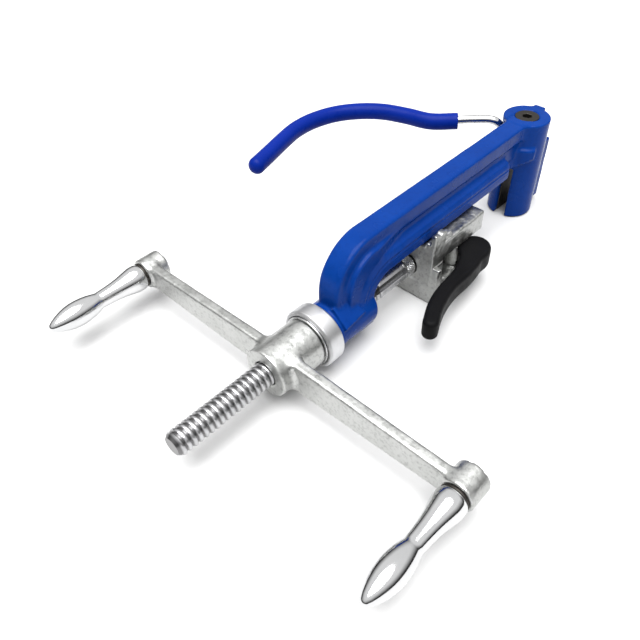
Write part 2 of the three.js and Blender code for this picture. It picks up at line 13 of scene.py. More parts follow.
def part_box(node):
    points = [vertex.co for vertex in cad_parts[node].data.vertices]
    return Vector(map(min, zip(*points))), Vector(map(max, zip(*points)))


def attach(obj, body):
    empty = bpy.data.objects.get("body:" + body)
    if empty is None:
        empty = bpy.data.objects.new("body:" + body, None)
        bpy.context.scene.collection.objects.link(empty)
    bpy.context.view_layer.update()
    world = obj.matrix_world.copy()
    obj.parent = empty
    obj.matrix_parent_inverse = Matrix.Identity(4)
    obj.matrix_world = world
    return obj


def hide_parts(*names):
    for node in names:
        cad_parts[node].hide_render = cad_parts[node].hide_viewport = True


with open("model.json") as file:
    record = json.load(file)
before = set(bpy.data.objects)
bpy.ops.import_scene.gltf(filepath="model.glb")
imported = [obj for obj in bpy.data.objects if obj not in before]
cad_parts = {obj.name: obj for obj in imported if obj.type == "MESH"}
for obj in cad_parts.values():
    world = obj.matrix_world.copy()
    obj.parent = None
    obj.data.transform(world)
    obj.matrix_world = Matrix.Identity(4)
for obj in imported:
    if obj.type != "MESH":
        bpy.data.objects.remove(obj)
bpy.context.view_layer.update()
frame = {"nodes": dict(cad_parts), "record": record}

# Shapes are worked out in millimetres in the spindle's frame: the origin is on the spindle's axis at
# the crank's arms, Y runs towards the nose and Z is up. AXIS is that origin in the row frame.
TAIL = -65.2
spindle_low, spindle_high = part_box("spindle")
AXIS = Vector((0, spindle_low.y * 1000 - TAIL, (spindle_low.z + spindle_high.z) * 500))
FINE = 1.0
PI = math.pi
REACH = 100  # from the spindle's axis to a grip's axis
CREST, THREAD_END, SPINDLE_FRONT = 6.16, 66, 107
KEY_TURN = PI / 6  # the key's direction about Y, X towards Z
noise.seed_set(1)  # unseeded, its offsets come from the clock and change from run to run


def row(p):
    """A point in the spindle's frame, in millimetres, as a point in the row frame, in metres."""
    return (Vector(p) + AXIS) / 1000


# ---- camera ----
LENS, SENSOR = 36.91125, 36  # millimetres
YAW, PITCH, ROLL = 0.766, 0.770, -0.03  # radians
CAMERA_AT = (155.97, -136.67, 225.24)
cam_data = bpy.data.cameras.new("camera")
cam_data.lens = LENS
cam_data.sensor_width = SENSOR
cam_data.clip_start = 0.01
cam_data.clip_end = 50
camera = bpy.data.objects.new("camera", cam_data)
bpy.context.scene.collection.objects.link(camera)
level = math.cos(PITCH)
forward = Vector((-math.sin(YAW) * level, math.cos(YAW) * level, -math.sin(PITCH)))
side = Vector((math.cos(YAW), math.sin(YAW), 0))
over = side.cross(forward)
right = side * math.cos(ROLL) + over * math.sin(ROLL)
up = over * math.cos(ROLL) - side * math.sin(ROLL)
turn = Matrix((right, up, -forward)).transposed()
camera.matrix_world = Matrix.Translation(row(CAMERA_AT)) @ turn.to_4x4()
bpy.context.scene.camera = camera


# ---- materials ----
class Nodes:
    """A material under construction."""

    def __init__(self, name, color, roughness, metallic=0.0, **sockets):
        self.material = bpy.data.materials.new(name)
        self.material.use_nodes = True
        self.tree = self.material.node_tree
        self.shader = self.tree.nodes["Principled BSDF"]
        self.set("Base Color", (*color, 1))
        self.set("Roughness", roughness)
        self.set("Metallic", metallic)
        for key, value in sockets.items():
            self.set(key.replace("_", " "), value)
        self.coords = self.tree.nodes.new("ShaderNodeTexCoord").outputs["Object"]
        self.bump = None

    def set(self, socket, value):
        self.shader.inputs[socket].default_value = value

    def node(self, kind, **values):
        made = self.tree.nodes.new(kind)
        for key, value in values.items():
            if isinstance(value, bpy.types.NodeSocket):
                self.tree.links.new(value, made.inputs[key])
            elif key in made.inputs:
                made.inputs[key].default_value = value
            else:
                setattr(made, key, value)
        return made

    def stretched(self, scale):
        return self.node("ShaderNodeMapping", Vector=self.coords, Scale=scale).outputs["Vector"]

    def noise(self, scale, detail=3.0, roughness=0.5, at=None):
        made = self.node("ShaderNodeTexNoise", Scale=scale, Detail=detail, Roughness=roughness)
        self.tree.links.new(at or self.coords, made.inputs["Vector"])
        return made.outputs["Fac"]

    def ramp(self, fac, low, high, start=0.3, end=0.7):
        made = self.node("ShaderNodeValToRGB")
        self.tree.links.new(fac, made.inputs["Fac"])
        for element, place, value in zip(made.color_ramp.elements, (start, end), (low, high)):
            element.position = place
            element.color = (*value, 1) if isinstance(value, (tuple, list)) else (value, value, value, 1)
        return made.outputs["Color"]

    def multiply(self, a, b):
        made = self.node("ShaderNodeMix", data_type="RGBA", blend_type="MULTIPLY")
        made.inputs["Factor"].default_value = 1
        self.tree.links.new(a, made.inputs["A"])
        self.tree.links.new(b, made.inputs["B"])
        return made.outputs["Result"]

    def link(self, output, socket):
        self.tree.links.new(output, self.shader.inputs[socket])

    def bumped(self, height, distance, strength=1.0):
        made = self.node("ShaderNodeBump", Height=height, Distance=distance, Strength=strength)
        if self.bump:
            self.tree.links.new(self.bump, made.inputs["Normal"])
        self.bump = made.outputs["Normal"]
        self.link(self.bump, "Normal")
        return self


def enamel():
    m = Nodes("blue_enamel", (0.002, 0.037, 0.225), 0.2, Specular_IOR_Level=0.06)
    patches = m.ramp(m.noise(38, 2), (0.0012, 0.024, 0.158), (0.0018, 0.030, 0.186))
    worn = m.ramp(m.noise(420, 5, 0.65), 0.90, 1.0, 0.36, 0.5)
    m.link(m.multiply(patches, worn), "Base Color")
    m.link(m.ramp(m.noise(110, 4), 0.16, 0.3), "Roughness")
    return m.bumped(m.noise(55, 2), 0.0006, 0.5).bumped(m.noise(330, 3), 0.00012, 0.45).material


def casting_metal(name="zinc_casting", shade=1.0):
    m = Nodes(name, (0.66 * shade, 0.67 * shade, 0.65 * shade), 0.45, 1.0)
    dull = tuple(c * shade for c in (0.62, 0.63, 0.61))
    bright = tuple(c * shade for c in (0.74, 0.745, 0.73))
    patches = m.ramp(m.noise(90, 6, 0.65), dull, bright)
    pits = m.ramp(m.noise(600, 6, 0.7), 0.7, 1.0, 0.36, 0.5)
    m.link(m.multiply(patches, pits), "Base Color")
    m.link(m.ramp(m.noise(180, 5, 0.65), 0.26, 0.5), "Roughness")
    m.bumped(m.noise(75, 3), 0.0004, 0.5)
    m.bumped(m.noise(420, 4, 0.6), 0.00028, 0.55)
    return m.bumped(m.noise(1500, 3, 0.6), 0.00007, 0.5).material


def polished():
    m = Nodes("polished_steel", (0.88, 0.885, 0.89), 0.2, 1.0)
    rings = m.noise(26, 4, 0.6, m.stretched((1.5, 160, 1.5)))
    m.link(m.ramp(rings, 0.08, 0.15), "Roughness")
    m.link(m.ramp(m.noise(90, 4), (0.60, 0.605, 0.61), (0.67, 0.67, 0.675)), "Base Color")
    return m.bumped(rings, 0.00002, 0.35).bumped(m.noise(160, 2), 0.00005, 0.3).material


def turned_steel(name="turned_steel", color=(0.74, 0.745, 0.75), roughness=(0.2, 0.34)):
    m = Nodes(name, color, roughness[0], 1.0)
    rings = m.noise(30, 5, 0.65, m.stretched((2, 220, 2)))
    m.link(m.ramp(rings, *roughness), "Roughness")
    dim = tuple(c * 0.86 for c in color)
    m.link(m.ramp(m.noise(140, 5, 0.6), dim, color), "Base Color")
    return m.bumped(rings, 0.00003, 0.4).material


def dipped(name, color, dark, roughness, grain):
    m = Nodes(name, color, roughness, 0.0, Specular_IOR_Level=0.05)
    m.link(m.ramp(m.noise(70, 3), dark, color), "Base Color")
    m.link(m.ramp(m.noise(240, 4), roughness - 0.07, roughness + 0.08), "Roughness")
    m.bumped(m.noise(45, 2), 0.0005, 0.35)
    return m.bumped(m.noise(1300, 3, 0.6), grain, 0.5).material


def thread_metal():
    """Painted shade: bright on the crests and dark towards the grooves, by distance from the spindle's
    axis.
    """
    m = Nodes("rolled_thread", (0.8, 0.8, 0.81), 0.28, 1.0)
    offset = m.node("ShaderNodeMapping", Vector=m.coords, Location=(0, 0, -AXIS.z / 10),
                    Scale=(100, 0, 100))
    radius = m.node("ShaderNodeVectorMath", operation="LENGTH", Vector=offset.outputs["Vector"])
    # painted shade: the base colour darkens from the crests down to the groove roots
    shade = m.ramp(radius.outputs["Value"], (0.18, 0.178, 0.18), (0.52, 0.52, 0.53), 0.54, 0.59)
    m.link(m.multiply(shade, m.ramp(m.noise(260, 4), 0.82, 1.0)), "Base Color")
    return m.bumped(m.noise(500, 3), 0.00005, 0.4).material


ENAMEL = enamel()
CASTING = casting_metal(shade=0.7)
BLOCK_CASTING = casting_metal("block_casting", 0.56)
THREAD = thread_metal()
POLISHED = polished()
TURNED = turned_steel()
SATIN = turned_steel("satin_steel", (0.62, 0.622, 0.63), (0.34, 0.44))
SHANK = turned_steel("shank_steel", (0.42, 0.42, 0.43), (0.24, 0.34))
DARK = turned_steel("dark_steel", (0.06, 0.055, 0.05), (0.38, 0.52))
BRONZE = turned_steel("bronze", (0.66, 0.44, 0.22), (0.22, 0.4))
BLACK = dipped("black_coat", (0.0045, 0.0045, 0.005), (0.003, 0.003, 0.0035), 0.5, 0.00008)
SLEEVE = dipped("blue_sleeve", (0.002, 0.015, 0.185), (0.0015, 0.013, 0.165), 0.3, 0.00003)

NODE_MATERIALS = {
    "blue_enamel": ENAMEL,
    "blue_sleeve": SLEEVE,
    "zinc_casting": CASTING,
    "bright_steel": POLISHED,
    "turned_steel": TURNED,
    "bronze": BRONZE,
    "black_coat": BLACK,
    "dark_steel": DARK,
}
slots = {s["node"]: s["material_slot"] for s in frame["record"]["subparts"]}
for name, node in frame["nodes"].items():
    node.data.materials.clear()
    node.data.materials.append(NODE_MATERIALS[slots[name]])


# ---- pieces ----
def raw_mesh(name, points, faces):
    """A mesh from points in the spindle's frame, in millimetres."""
    mesh = bpy.data.meshes.new(name)
    points = (np.asarray(points, dtype=float) + np.array(AXIS)) / 1000
    mesh.from_pydata(points.tolist(), [], [list(map(int, f)) for f in faces])
    return mesh


def face_outwards(mesh):
    cleaned = bmesh.new()
    cleaned.from_mesh(mesh)
    bmesh.ops.recalc_face_normals(cleaned, faces=cleaned.faces)
    cleaned.to_mesh(mesh)
    cleaned.free()


def piece(name, points, faces, body, node, material, smooth=35, also=()):
    """A mesh that rides on a body and stands for a CAD node, and for any others named in also."""
    mesh = raw_mesh(name, points, faces)
    mesh.validate()
    mesh.shade_smooth()
    made = bpy.data.objects.new(name, mesh)
    bpy.context.scene.collection.objects.link(made)
    face_outwards(mesh)
    if smooth < 180:
        mesh.set_sharp_from_angle(angle=math.radians(smooth))
    mesh.materials.append(material)
    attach(made, body)
    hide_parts(node, *also)
    return made


# ---- solids by distance ----
class Field:
    """Sample points in a box, in millimetres. Its solids are arrays of signed distance."""

    def __init__(self, low, high, step):
        self.low, self.step = np.array(low, dtype=float), step * FINE
        spans = [np.arange(a, b, self.step, dtype=np.float32) for a, b in zip(low, high)]
        self.x = spans[0][:, None, None]
        self.y = spans[1][None, :, None]
        self.z = spans[2][None, None, :]

    def box(self, xs, ys, zs, r=0.0):
        axes = zip((self.x, self.y, self.z), (xs, ys, zs))
        q = [abs(v - (a + b) / 2) - ((b - a) / 2 - r) for v, (a, b) in axes]
        outside = np.sqrt(sum(np.maximum(v, 0) ** 2 for v in q))
        return outside + np.minimum(np.maximum(np.maximum(q[0], q[1]), q[2]), 0) - r

    def bar_y(self, radius, y0, y1, x=0.0, z=0.0, r=0.0):
        round_part = np.hypot(self.x - x, self.z - z) - radius
        return meet(round_part, abs(self.y - (y0 + y1) / 2) - (y1 - y0) / 2, r)

    def bar_z(self, radius, z0, z1, x=0.0, y=0.0, r=0.0):
        round_part = np.hypot(self.x - x, self.y - y) - radius
        return meet(round_part, abs(self.z - (z0 + z1) / 2) - (z1 - z0) / 2, r)

    def surface(self, distance):
        grid = vdb.FloatGrid(5.0)
        grid.copyFromArray(np.ascontiguousarray(np.clip(distance, -5, 5), dtype=np.float32))
        points, quads = grid.convertToQuads(0.0)
        return points * self.step + self.low, quads


def meet(a, b, r=0.0):
    """What two solids share, its edge rounded by r."""
    if not r:
        return np.maximum(a, b)
    return np.minimum(-r, np.maximum(a, b)) + np.hypot(np.maximum(a + r, 0), np.maximum(b + r, 0))


def join(a, b, r=0.0):
    """Two solids as one, with a fillet of radius r between them."""
    if not r:
        return np.minimum(a, b)
    return np.maximum(r, np.minimum(a, b)) - np.hypot(np.maximum(r - a, 0), np.maximum(r - b, 0))


def cut(a, b, r=0.0):
    return meet(a, -b, r)


def polygon(u, v, corners):
    """Signed distance to a closed polygon."""
    best, inside = None, None
    count = len(corners)
    for i in range(count):
        (ax, ay), (bx, by) = corners[i], corners[(i + 1) % count]
        ex, ey = bx - ax, by - ay
        wx, wy = u - ax, v - ay
        t = np.clip((wx * ex + wy * ey) / (ex * ex + ey * ey), 0, 1)
        near = (wx - ex * t) ** 2 + (wy - ey * t) ** 2
        crosses = ((ay <= v) != (by <= v)) & (((ex * wy - ey * wx) < 0) == (by < ay))
        best = near if best is None else np.minimum(best, near)
        inside = crosses if inside is None else inside ^ crosses
    return np.where(inside, -1, 1) * np.sqrt(best)


def plate_x(field, outline, half, r):
    """An outline's distance in Y and Z, as a plate about X = 0 with its edges rounded by r."""
    return meet(outline, abs(field.x) - half, r)


def key_axes(x, z):
    """How far a point lies out along the spindle's key, and how far to its side."""
    c, s = math.cos(KEY_TURN), math.sin(KEY_TURN)
    return x * c + z * s, z * c - x * s


def uneven(points, size, depth, seed):
    """Moves points by a soft noise, as a casting's skin does."""
    moved = np.asarray(points, dtype=float).copy()
    for i, p in enumerate(moved):
        v = Vector(p) / size + Vector((seed, 2 * seed, 0))
        moved[i] += np.array(noise.noise_vector(v)) * depth
    return moved


# ---- turned and swept solids ----
def filleted(profile, r, loop=False, steps=4):
    """A profile with its corners rounded by r, or by less where its sides are short."""
    points = [np.array(p, dtype=float) for p in profile]
    count = len(points)
    out = []
    for i, corner in enumerate(points):
        if not loop and i in (0, count - 1):
            out.append(corner)
            continue
        back, on = points[i - 1] - corner, points[(i + 1) % count] - corner
        reach = min(r, 0.45 * np.linalg.norm(back), 0.45 * np.linalg.norm(on))
        back, on = back / np.linalg.norm(back), on / np.linalg.norm(on)
        if abs(np.dot(back, on)) > 0.97:
            out.append(corner)
            continue
        for k in range(steps + 1):
            t = k / steps
            out.append(corner + back * reach * (1 - t) ** 2 + on * reach * t ** 2)
    return out


def walls(pairs, sides):
    """The faces between rows of points. A row is its first point and its count, 1 or sides."""
    faces = []
    for (a, na), (b, nb) in pairs:
        if na == nb == 1:
            continue
        for i in range(sides):
            j = (i + 1) % sides
            if na == 1:
                faces.append((a, b + i, b + j))
            elif nb == 1:
                faces.append((a + i, b, a + j))
            else:
                faces.append((a + i, b + i, b + j, a + j))
    return faces


def lathe(profile, axis="y", at=(0, 0, 0), sides=72, loop=False):
    """A solid of revolution. The profile's points are (radius, place along the axis)."""
    points, rows = [], []
    for radius, along in profile:
        count = 1 if radius < 1e-6 else sides
        rows.append((len(points), count))
        for i in range(count):
            angle = 2 * PI * i / sides
            across = (radius * math.sin(angle), radius * math.cos(angle))
            p = (across[0], along, across[1]) if axis == "y" else (across[0], across[1], along)
            points.append(np.array(p) + at)
    return points, walls(zip(rows, rows[1:] + rows[:1] if loop else rows[1:]), sides)


def turned(name, profile, body, node, material, r=0.3, loop=False, **place):
    points, faces = lathe(filleted(profile, r, loop), loop=loop, **place)
    piece(name, points, faces, body, node, material, 40)


def ring(inner, outer, y0, y1):
    return [(inner, y0), (outer, y0), (outer, y1), (inner, y1)]


def solid_bar(radius, a, b):
    return [(0, a), (radius, a), (radius, b), (0, b)]


class Path:
    """A centripetal Catmull-Rom curve through points, measured by length."""

    def __init__(self, points):
        p = [np.array(v, dtype=float) for v in points]
        p = [2 * p[0] - p[1], *p, 2 * p[-1] - p[-2]]
        samples = []
        for a, b, c, d in zip(p, p[1:], p[2:], p[3:]):
            t0 = 0
            t1 = t0 + np.linalg.norm(b - a) ** 0.5
            t2 = t1 + np.linalg.norm(c - b) ** 0.5
            t3 = t2 + np.linalg.norm(d - c) ** 0.5
            for t in np.linspace(t1, t2, 40, endpoint=False):
                a1 = (t1 - t) / (t1 - t0) * a + (t - t0) / (t1 - t0) * b
                a2 = (t2 - t) / (t2 - t1) * b + (t - t1) / (t2 - t1) * c
                a3 = (t3 - t) / (t3 - t2) * c + (t - t2) / (t3 - t2) * d
                b1 = (t2 - t) / (t2 - t0) * a1 + (t - t0) / (t2 - t0) * a2
                b2 = (t3 - t) / (t3 - t1) * a2 + (t - t1) / (t3 - t1) * a3
                samples.append((t2 - t) / (t2 - t1) * b1 + (t - t1) / (t2 - t1) * b2)
        samples.append(p[-2])
        self.samples = np.array(samples)
        steps = np.linalg.norm(np.diff(self.samples, axis=0), axis=1)
        self.lengths = np.concatenate([[0], np.cumsum(steps)])
        self.length = self.lengths[-1]

    def at(self, s):
        return np.array([np.interp(s, self.lengths, self.samples[:, k]) for k in range(3)])

    def heading(self, s):
        d = self.at(min(s + 0.4, self.length)) - self.at(max(s - 0.4, 0))
        return d / np.linalg.norm(d)


def along(path, profile, sides=24, step=1.5):
    """A round solid along a path. The profile's points are (radius, length along it, lift)."""
    rows = []
    for (r0, s0, z0), (r1, s1, z1) in zip(profile, profile[1:]):
        count = max(1, math.ceil(abs(s1 - s0) / step))
        for k in range(count):
            rows.append((r0 + (r1 - r0) * k / count, s0 + (s1 - s0) * k / count,
                         z0 + (z1 - z0) * k / count))
    rows.append(profile[-1])
    points, starts = [], []
    for radius, s, lift in rows:
        t = path.heading(s)
        u = np.cross(t, (0.0, 0.0, 1.0))
        u /= np.linalg.norm(u)
        v = np.cross(u, t)
        centre = path.at(s) + (0, 0, lift)
        count = 1 if radius < 1e-6 else sides
        starts.append((len(points), count))
        for i in range(count):
            angle = 2 * PI * i / sides
            points.append(centre + radius * (u * math.cos(angle) + v * math.sin(angle)))
    return points, walls(zip(starts, starts[1:]), sides)


def carve(target, points, faces, operation):
    """Cuts a piece with a closed mesh, or keeps what they share."""
    mesh = raw_mesh("tool", points, faces)
    face_outwards(mesh)
    tool = bpy.data.objects.new("tool", mesh)
    bpy.context.scene.collection.objects.link(tool)
    tool.matrix_world = target.matrix_world.copy()
    change = target.modifiers.new("carve", "BOOLEAN")
    change.operation = operation
    change.solver = "EXACT"
    change.object = tool
    bpy.context.view_layer.update()
    carved = target.evaluated_get(bpy.context.evaluated_depsgraph_get())
    made = bpy.data.meshes.new_from_object(carved)
    target.modifiers.clear()
    old = target.data
    target.data = made
    bpy.data.meshes.remove(old)
    bpy.data.objects.remove(tool)
    bpy.data.meshes.remove(mesh)
    made.shade_smooth()
    made.set_sharp_from_angle(angle=math.radians(32))


def key_block(low, high):
    """The corners and faces of a box that is turned about Y to the key's direction."""
    c, s = math.cos(KEY_TURN), math.sin(KEY_TURN)
    points = [(x * c - z * s, y, x * s + z * c)
              for x in (low[0], high[0]) for y in (low[1], high[1]) for z in (low[2], high[2])]
    faces = [(0, 1, 3, 2), (4, 6, 7, 5), (0, 4, 5, 1), (2, 3, 7, 6), (0, 2, 6, 4), (1, 5, 7, 3)]
    return points, faces


# ---- frame casting ----
BEND_Y, BEND_Z, BEND_R = 56, 17.3, 25.2
THROAT_Y, THROAT_Z, THROAT_R = 66.4, 5.6, 11.2
TOP_Z, FLANGE, POST_Y, POST_R, FLOOR_Z = 42.5, 8.5, 204.3, 13.5, -19.2
BARREL_R, BARREL = 12.6, (26.3, 55.2)
KEY_SEAT, KEY_HALF = 37.7, 1.6  # where the key's slot starts, and half its width
SCREW_HOLE_R = 4.3


def frame_casting():
    f = Field((-17, 20.5, -20.5), (17, 226, 44), 0.5)
    x, y, z = f.x, f.y, f.z
    # the outer skin's outline, and how deep a point lies inside the C's inner edge
    bend = np.hypot(y - BEND_Y, z - BEND_Z) - BEND_R
    outer = np.where(y > BEND_Y, z - TOP_Z, np.where(z > BEND_Z, bend, BEND_Y - BEND_R - y))
    turn_in = np.hypot(y - THROAT_Y, z - THROAT_Z) - THROAT_R
    depth = np.where(y > THROAT_Y, z - THROAT_Z - THROAT_R,
                     np.where(z > THROAT_Z, turn_in, THROAT_Y - THROAT_R - y))
    in_frame = np.maximum(y - POST_Y, -8 - z)
    web = plate_x(f, np.maximum(np.maximum(outer, -depth), in_frame), 4.5, 0.5)
    flange = meet(np.maximum(outer, in_frame), abs(x) - 6.2, 1.2)
    flange = meet(flange, -outer - FLANGE, 0.9)
    section = [(-1, 0), (7.6, 0), (10, 1.8), (10, 6.7), (9.4, 7.5), (9.9, 8.7), (8.5, 11.4),
               (6.6, 12.2), (4.6, 14.4), (-1, 14.4)]
    section = polygon(abs(x), depth, section)
    rail = meet(section, y - 175.6, 1.6)
    rail = np.maximum(rail, -8 - z)
    # the side is nearly flat around the bend, and the recess deepens along the straight
    shallow = 8.8 - 4.3 * np.clip((y - 58) / 24, 0, 1)
    filled = meet(np.maximum(outer, -depth) + FLANGE - 1.5, abs(x) - shallow, 1.0)
    filled = np.maximum(filled, in_frame)
    body = join(join(web, filled, 1.6), rail, 1.2)
    body = join(body, flange, 1.6)
    barrel = f.bar_y(BARREL_R, *BARREL, r=1.6)
    foot = join(body, barrel, 1.4)
    across = (x + z) / math.sqrt(2)
    upward = (z - x) / math.sqrt(2)
    pad = polygon(y, upward, [(29.4, -5.5), (45.0, -4), (41.2, 4.6), (29.4, 7)])
    pad = meet(pad, abs(across - 10) - 4.0, 0.5)
    foot = join(foot, pad, 1.0)
    post = f.bar_z(POST_R, FLOOR_Z, TOP_Z, y=POST_Y, r=0.8)
    angle = np.degrees(np.arctan2(y - POST_Y, x))
    lip_low = 15 + 6.5 * np.clip((angle + 95) / 60, 0, 1)
    lip = meet(np.hypot(x, y - POST_Y) - 15.6, np.maximum(lip_low - z, z - 28), 1.2)
    lip = meet(lip, np.maximum(angle + 30, -104 - angle) * 0.25, 0.8)
    post = join(post, lip, 2.2)
    front = f.box((-8.5, 8.5), (POST_Y, 224), (-16.8, 23.6), 0.7)
    rib = f.box((-4, 3.4), (POST_Y, 220.3), (20, TOP_Z), 0.8)
    post = join(post, join(front, rib, 0.8), 0.8)
    body = join(foot, post, 2.4)
    # what is cut away
    body = cut(body, f.bar_y(8.5, 20, 56), 0.5)
    out, aside = key_axes(x, z)
    keyway = np.maximum(abs(aside) - KEY_HALF, np.maximum(-out, out - 9.5))
    body = cut(body, np.maximum(keyway, np.maximum(KEY_SEAT - y, y - 58)))
    body = cut(body, f.bar_z(10, -30, 36.6, y=POST_Y), 0.4)
    body = cut(body, f.bar_z(SCREW_HOLE_R, 30, 50, y=POST_Y))
    sink = (np.hypot(x, y - POST_Y) - 7.5 - (z - TOP_Z)) / math.sqrt(2)
    body = cut(body, np.maximum(sink, 39 - z), 0.3)
    body = cut(body, f.box((-3, 4), (180, 230), (-30, 14), 0.4), 0.4)
    swept = np.where(angle < 0, angle + 360, angle)
    opening = np.maximum(103 - swept, swept - 236) * 0.24
    window = meet(opening, abs(z - 34.3) - 4.5, 1.5)
    body = cut(body, np.maximum(window, abs(np.hypot(x, y - POST_Y) - 15.5) - 6.5), 0.5)
    points, quads = f.surface(body)
    points = uneven(points, 9, 0.12, 3)
    piece("frame_skin", points, quads, "frame", "frame_casting", ENAMEL, 180)


# ---- thrust bearing, bush and key ----
def bearing():
    housing = [(11.3, 26), (11.3, 22.8), (13.6, 22.8), (13.6, 16.5), (14.6, 16.5), (15.66, 17.5),
               (15.66, 25.4), (15.1, 26)]
    turned("ring_skin", housing, "frame", "bearing_housing", SATIN, loop=True, sides=96)
    turned("turning_race_skin", ring(7, 13.3, 15.7, 17.4), "crank", "turning_race", TURNED, loop=True)
    turned("fixed_race_skin", ring(7, 13.3, 20.7, 22.5), "frame", "fixed_race", TURNED, loop=True)
    f = Field((-14, 17.5, -14), (14, 20.6, 14), 0.3)
    cage = meet(abs(np.hypot(f.x, f.z) - 10.15) - 2.85, abs(f.y - 19.05) - 0.7, 0.25)
    for i in range(10):
        turn = 2 * PI * i / 10
        at = (10.2 * math.sin(turn), 19.05, 10.2 * math.cos(turn))
        cage = cut(cage, np.hypot(f.x - at[0], f.z - at[2]) - 1.8, 0.2)
        ball = bmesh.new()
        bmesh.ops.create_icosphere(ball, subdivisions=3, radius=1.5)
        points = [np.array(v.co) + at for v in ball.verts]
        faces = [[v.index for v in face.verts] for face in ball.faces]
        ball.free()
        node = f"bearing_ball_{i + 1:02d}"
        piece(f"{node}_skin", points, faces, "ball_cage", node, POLISHED, 180)
    piece("cage_skin", *f.surface(cage), "ball_cage", "bearing_cage", BRONZE, 180)
    f = Field((-9, 31, -9), (9, 55.6, 9), 0.35)
    bush = meet(abs(np.hypot(f.x, f.z) - 7.3) - 0.9, abs(f.y - 43.3) - 11.3, 0.3)
    out, aside = key_axes(f.x, f.z)
    slot = np.maximum(np.maximum(abs(aside) - KEY_HALF, -out), KEY_SEAT - f.y)
    bush = cut(bush, slot, 0.2)
    piece("bush_skin", *f.surface(bush), "frame", "barrel_bush", BRONZE, 180)
    f = Field((0, 37, -3), (9, 52, 8), 0.25)
    out, aside = key_axes(f.x, f.z)
    key = meet(meet(abs(aside) - 1.4, abs(out - 6.8) - 2.4, 0.3), abs(f.y - 44.5) - 6.5, 0.3)
    piece("key_skin", *f.surface(key), "frame", "spindle_key", TURNED, 180)


# ---- crank ----
HUB_R, HUB = 12.6, (-11.85, 15.4)


def crank():
    f = Field((-109.5, -13, -14), (109.5, 17, 14), 0.5)
    x, y, z = abs(f.x), f.y, f.z
    hub = f.bar_y(HUB_R, *HUB, r=0.9)
    share = np.clip((x - 20) / 80, 0, 1)
    half = 8.4 - 2.0 * share
    arm = meet(abs(z) - half, abs(y + 2.25) - 2.95, 1.5)
    arm = np.maximum(arm, x - (REACH - 2))
    body = join(hub, arm, 2.6)
    from_pin = np.hypot(x - REACH, z)
    boss = meet(from_pin - 8, abs(y) - 6.4, 0.9)
    body = join(body, boss, 2.0)
    body = cut(body, f.bar_y(6.4, -20, 20), 0.6)
    body = cut(body, from_pin - 3.7, 0.3)
    # the edge bruised where the grip's pin was riveted over
    bruised = 0.7 - np.sin(7 * np.arctan2(z, x - REACH) + 1)
    body = cut(body, np.maximum(np.maximum(7.3 - from_pin, 5.8 - y), bruised), 0.1)
    points, quads = f.surface(body)
    points = uneven(uneven(points, 9, 0.1, 1), 2.2, 0.04, 5)
    piece("crank_skin", points, quads, "crank", "crank_handle", CASTING, 180)


GRIP = [(6.7, -8), (7.05, -8.7), (7.2, -9.8), (7.2, -12.2), (7.0, -13.6), (6.2, -17.4),
        (5.5, -21), (5.0, -25), (4.72, -29), (4.52, -33), (4.5, -34), (4.85, -35), (5.4, -37),
        (6.0, -39.6), (6.4, -42.5), (6.62, -45.5), (6.55, -48.5), (6.15, -51.5), (5.4, -54.4),
        (4.4, -57.2), (3.3, -59.6), (2.2, -61.4), (1.2, -62.3), (0, -62.5)]
GRIP_BORE = [(0, -38.6), (3.6, -38.6), (3.6, -8)]


def grips():
    profile = filleted(GRIP_BORE + GRIP[:1], 0.3) + GRIP[1:]
    pin = [(0, -38), (3.4, -38), (3.4, 6.7), (5.2, 6.75), (5.15, 7.3), (4.7, 7.8), (3.6, 8.12),
           (0, 8.2)]
    washer = ring(3.6, 6.7, -7.7, -6.7)
    for name, x in (("left", -REACH), ("right", REACH)):
        points, faces = lathe(profile, at=(x, 0, 0), sides=80)
        piece(f"grip_{name}_skin", points, faces, f"{name}_grip", f"grip_{name}", POLISHED, 40)
        turned(f"grip_pin_{name}_skin", pin, "crank", f"grip_pin_{name}", TURNED, r=0.25,
               at=(x, 0, 0))
        turned(f"grip_washer_{name}_skin", washer, "crank", f"grip_washer_{name}", DARK, r=0.2,
               loop=True, at=(x, 0, 0))


# ---- spindle ----
def thread(low, high, root, pitch, sides):
    """A right-hand thread about Y. Its columns follow the helix, and join one pitch further on."""
    lobe = [(root, 0.0), (root, 0.5), (CREST - 0.4, 0.86), (CREST - 0.1, 1.12), (CREST, 1.45),
            (CREST, 2.05), (CREST - 0.1, 2.38), (CREST - 0.4, 2.64)]
    step = len(lobe)
    turns = math.ceil((high - low) / pitch)
    rows = step * turns
    points, faces = [], []
    for i in range(sides):
        angle = 2 * PI * i / sides
        for j in range(rows):
            radius, rise = lobe[j % step]
            if j // step * pitch + low + rise > THREAD_END:
                radius = CREST
            height = low + (j // step) * pitch + rise + pitch * i / sides
            points.append((radius * math.sin(angle), height, radius * math.cos(angle)))

    def at(i, j):
        return i * rows + j if i < sides else j + step

    below, above = len(points), len(points) + 1
    points += [(0, low - pitch, 0), (0, low + (turns + 2) * pitch, 0)]
    for i in range(sides):
        reach = rows - 1 if i < sides - 1 else rows - 1 - step
        for j in range(reach):
            faces.append((at(i, j), at(i + 1, j), at(i + 1, j + 1), at(i, j + 1)))
        faces.append((below, at(i + 1, 0), at(i, 0)))
        faces.append((above, at(i, reach), at(i + 1, reach)))
    for j in range(step):
        faces.append((below, at(0, j), at(0, j + 1)))
        faces.append((above, at(sides - 1, rows - 1 - j), at(sides - 1, rows - 2 - j)))
    return points, faces


